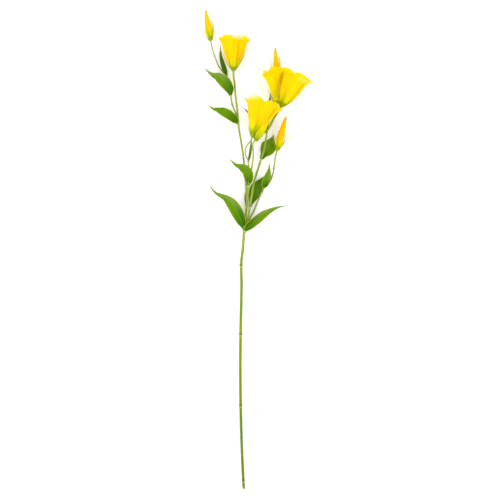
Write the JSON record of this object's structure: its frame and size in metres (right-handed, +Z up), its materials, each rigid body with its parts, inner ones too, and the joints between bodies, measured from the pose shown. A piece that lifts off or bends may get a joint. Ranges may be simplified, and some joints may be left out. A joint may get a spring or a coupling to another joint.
{
  "type": "lisianthus flower",
  "caption": "Cut lisianthus spray with ruffled yellow bell blooms, twisted buds, awn-like sepals and green leaves, lying flat.",
  "frame": {"origin": "under the middle of the spray's box, at its lowest point, on the surface it lies on", "axes": "+Y along the stem from the cut end to the tips, +X to the right seen from above, +Z up from the surface"},
  "size_m": [0.19, 0.8164, 0.0961],
  "materials": {
    "stem": "smooth green stem, yellower towards the blooms",
    "leaf": "soft green leaf with a faint sheen and fine veins",
    "sepal": "pale green, matte",
    "petal": "soft yellow petal, orange in the folds and pale at the rim",
    "stamen": "powdery yellow",
    "pistil": "smooth pale green"
  },
  "bodies": {
    "root": {"left_bloom_petals": "petal", "left_bloom_calyx": "sepal", "left_bloom_stamens": "stamen", "left_bloom_pistil": "pistil", "middle_bloom_petals": "petal", "middle_bloom_calyx": "sepal", "middle_bloom_stamens": "stamen", "middle_bloom_pistil": "pistil", "right_bloom_petals": "petal", "right_bloom_calyx": "sepal", "right_bloom_stamens": "stamen", "right_bloom_pistil": "pistil", "rear_bloom_petals": "petal", "rear_bloom_calyx": "sepal", "rear_bloom_stamens": "stamen", "rear_bloom_pistil": "pistil", "left_bud_petals": "petal", "left_bud_calyx": "sepal", "rear_bud_petals": "petal", "rear_bud_calyx": "sepal", "front_bud_petals": "petal", "front_bud_calyx": "sepal", "low_bud_petals": "petal", "low_bud_calyx": "sepal", "main_stem": "stem", "left_side_shoot": "stem", "right_shoot": "stem", "rear_bloom_stalk": "stem", "rear_bud_stalk": "stem", "low_bud_shoot": "stem", "centre_shoot": "stem", "middle_bloom_stalk": "stem", "leaf_lower_left": "leaf", "leaf_lower_right": "leaf", "leaf_shoot_front": "leaf", "leaf_shoot_narrow": "leaf", "leaf_behind_stems": "leaf", "leaf_behind_narrow": "leaf", "leaf_low_bud": "leaf", "leaf_right_broad": "leaf", "leaf_upper_rear": "leaf", "leaf_upper_hidden": "leaf", "leaf_left_lower": "leaf", "leaf_left_upper": "leaf", "leaf_left_top": "leaf"}
  },
  "joints": []
}
